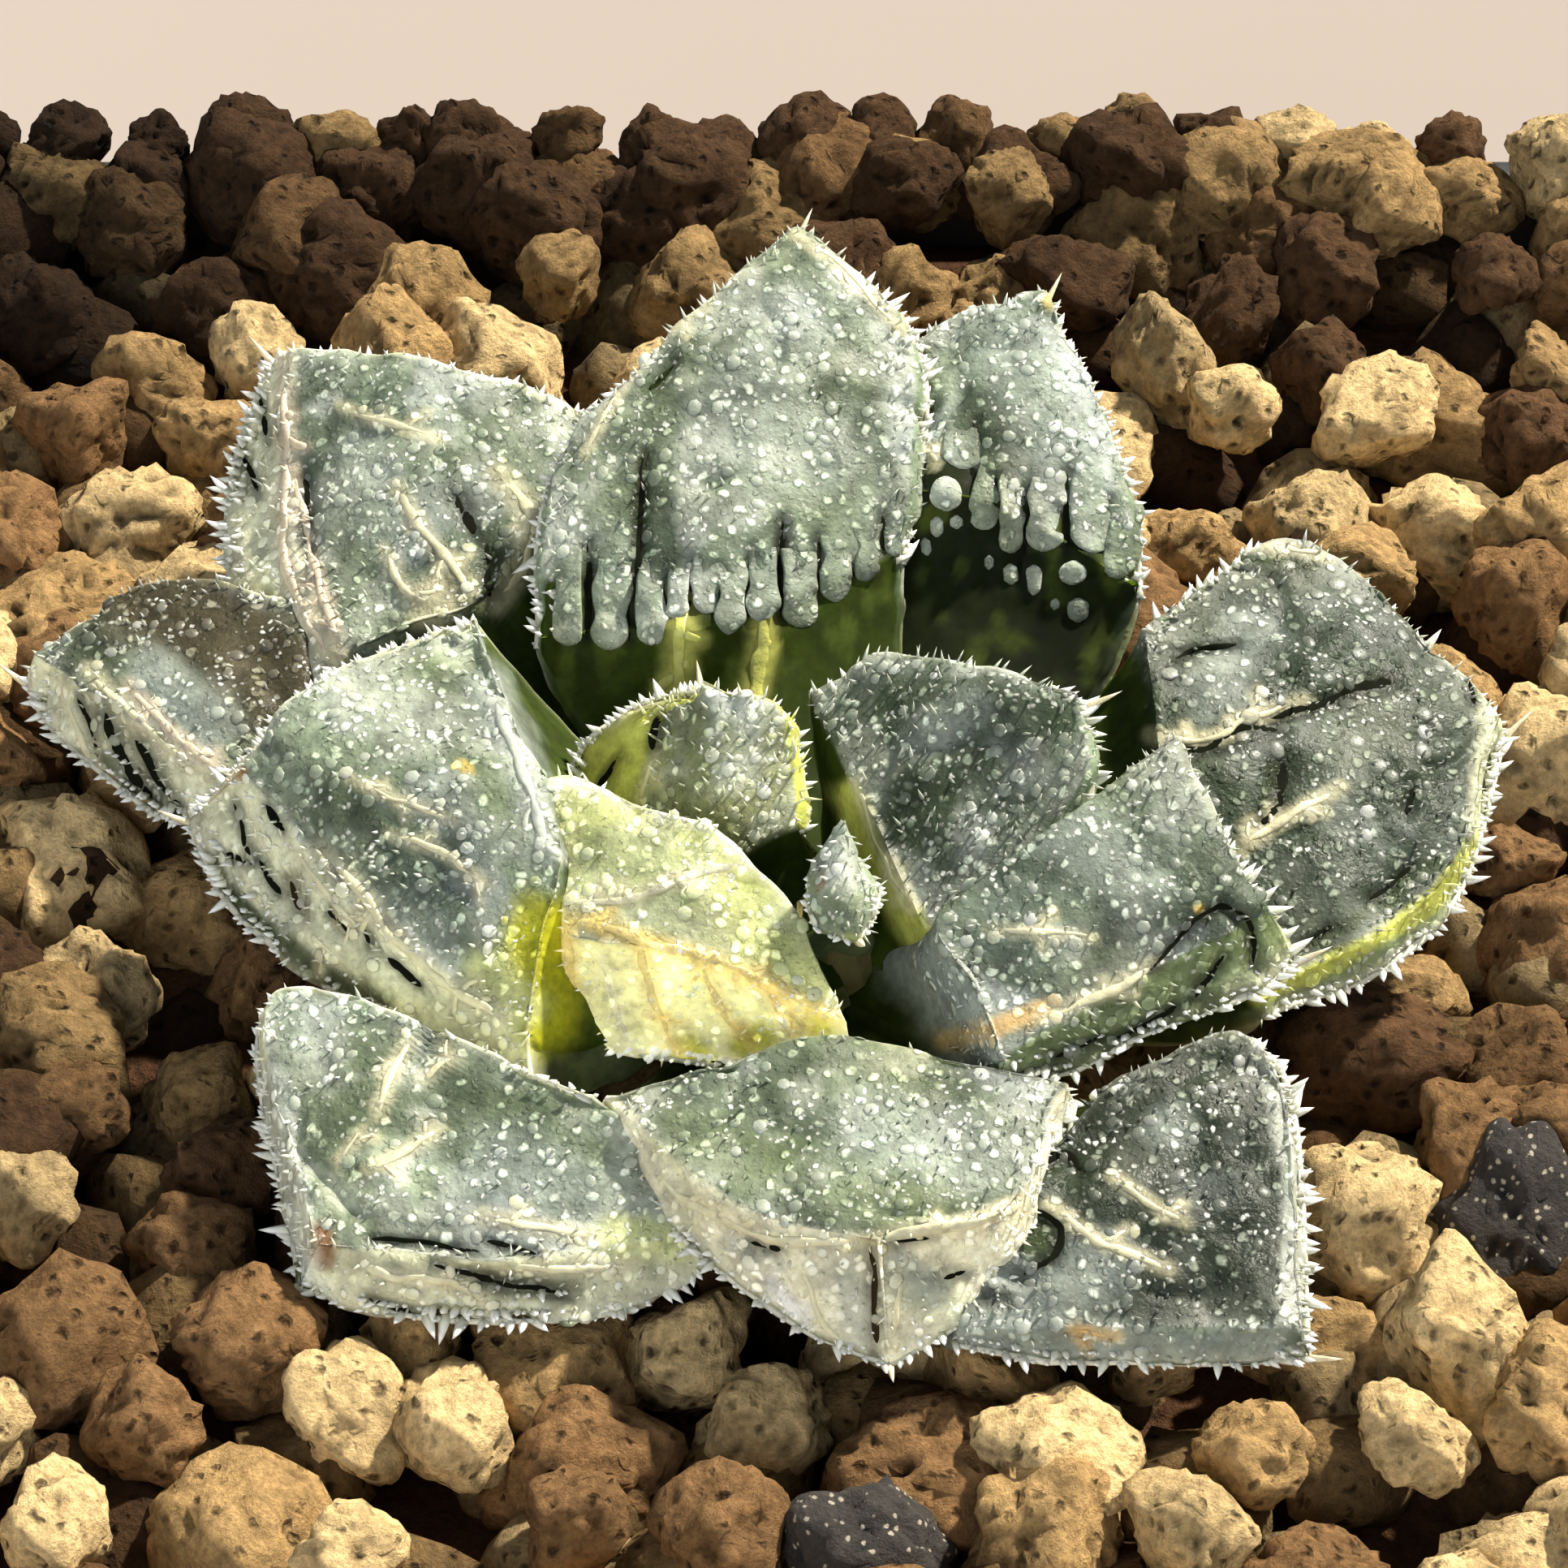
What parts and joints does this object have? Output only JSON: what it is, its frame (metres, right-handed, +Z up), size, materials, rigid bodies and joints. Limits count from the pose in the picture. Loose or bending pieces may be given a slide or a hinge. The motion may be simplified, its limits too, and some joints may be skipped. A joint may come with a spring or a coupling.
{
  "type": "potted obtusa haworthia hybrid",
  "caption": "Low rosette of fat, translucent, toothed succulent leaves on a short rooted stem, in a plain square pot filled with porous grain mix.",
  "frame": {"origin": "centre of the pot's underside, on the surface that it stands on", "axes": "+Z up the pot, +X to the right and +Y away from a viewer who faces the pot's front side"},
  "size_m": [0.09, 0.09, 0.0934],
  "materials": {
    "pot": "satin",
    "grain_mix": "matte",
    "stem": "matte",
    "leaf": "satin",
    "leaf_young": "satin"
  },
  "bodies": {
    "root": {"pot": "pot", "soil": "grain_mix", "stem_and_roots": "stem", "leaf_bud": "leaf_young", "leaf_inner_left": "leaf_young", "leaf_inner_front": "leaf_young", "leaf_inner_right": "leaf", "leaf_right": "leaf", "leaf_left": "leaf", "leaf_back_right": "leaf", "leaf_front": "leaf", "leaf_back": "leaf", "leaf_far_right": "leaf", "leaf_back_left": "leaf", "leaf_front_right": "leaf", "leaf_front_left": "leaf", "leaf_far_left": "leaf"}
  },
  "joints": []
}
